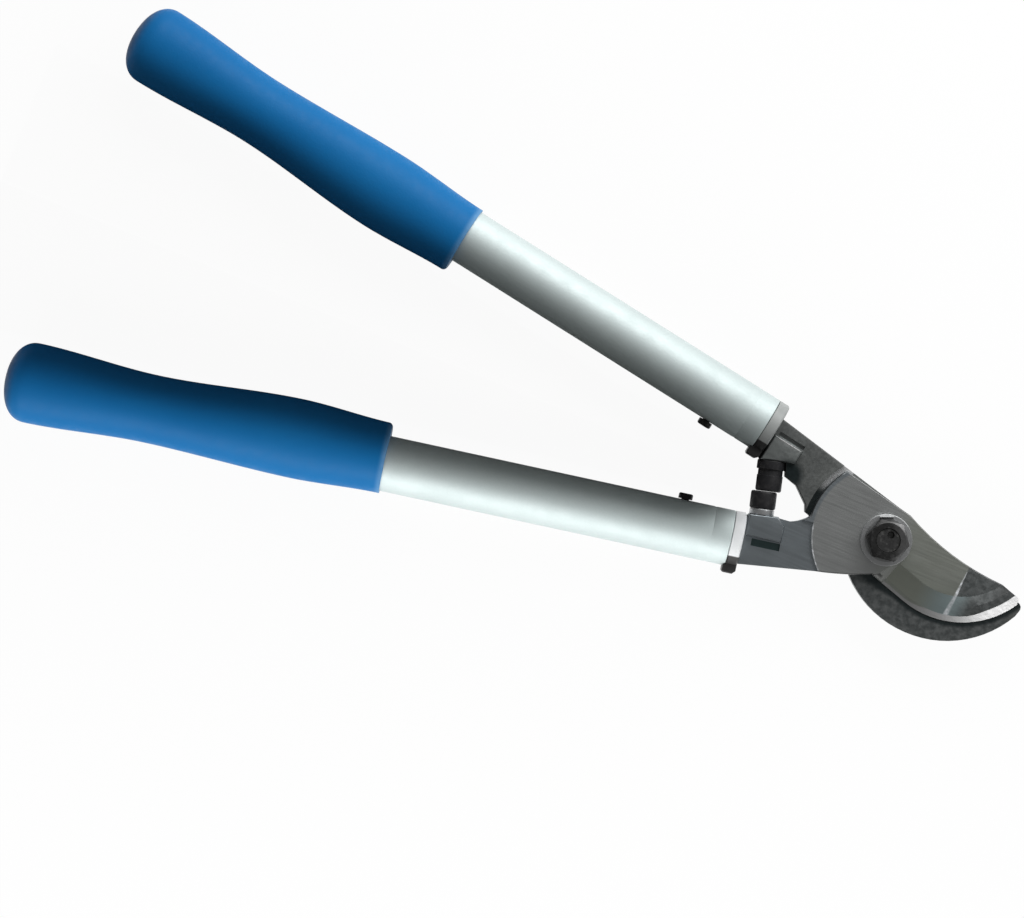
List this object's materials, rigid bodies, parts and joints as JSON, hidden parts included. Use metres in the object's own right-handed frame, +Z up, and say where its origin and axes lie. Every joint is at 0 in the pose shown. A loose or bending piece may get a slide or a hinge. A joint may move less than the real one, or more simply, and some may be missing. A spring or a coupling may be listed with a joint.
{
  "type": "bypass lopper",
  "caption": "Bypass lopper: a curved blade slides past a hooked counter jaw on a nutted pivot, with straight tube handles, soft flared grips and rubber bumpers.",
  "frame": {"origin": "middle of the lopper's box at rest, on the plane that it lies on: the underside of the bolt's head and of the grips", "axes": "+X along the lopper's centre line towards the jaws, +Y across it towards the hook's handle, +Z up, along the pivot from the bolt's head to the nut"},
  "size_m": [0.5192, 0.2196, 0.034],
  "materials": {
    "hook_steel": "tumbled forged steel, dull grey",
    "blade_steel": "ground carbon steel, satin, with a bright bevel",
    "black_steel": "black oxide, oiled",
    "zinc_steel": "bright zinc plate",
    "bush_bronze": "plain sintered bronze",
    "tube_aluminium": "satin anodised, drawn along its length",
    "sleeve_nylon": "moulded grey nylon, black at the lug",
    "plug_nylon": "moulded black nylon",
    "bumper_rubber": "black rubber",
    "grip_blue": "blue moulded soft grip, matt"
  },
  "bodies": {
    "hook_side": {"hook": "hook_steel", "upper_tube": "tube_aluminium", "upper_tang_sleeve": "sleeve_nylon", "upper_tang_screw": "black_steel", "upper_tube_plug": "plug_nylon", "upper_grip": "grip_blue", "upper_bumper": "bumper_rubber", "upper_bumper_stud": "zinc_steel", "pivot_bolt": "black_steel", "thrust_washer": "zinc_steel", "tab_washer": "zinc_steel", "pivot_nut": "black_steel"},
    "blade_side": {"blade": "blade_steel", "pivot_bush": "bush_bronze", "lower_tube": "tube_aluminium", "lower_tang_sleeve": "sleeve_nylon", "lower_tang_screw": "black_steel", "lower_tube_plug": "plug_nylon", "lower_grip": "grip_blue", "lower_bumper": "bumper_rubber", "lower_bumper_stud": "zinc_steel"}
  },
  "joints": [
    {"name": "jaw_pivot", "type": "hinge", "parent": "hook_side", "child": "blade_side", "pos_m": [0.18383, -0.00127, 0.017], "axis": [0, 0, 1], "range_deg": [0, 58]}
  ]
}
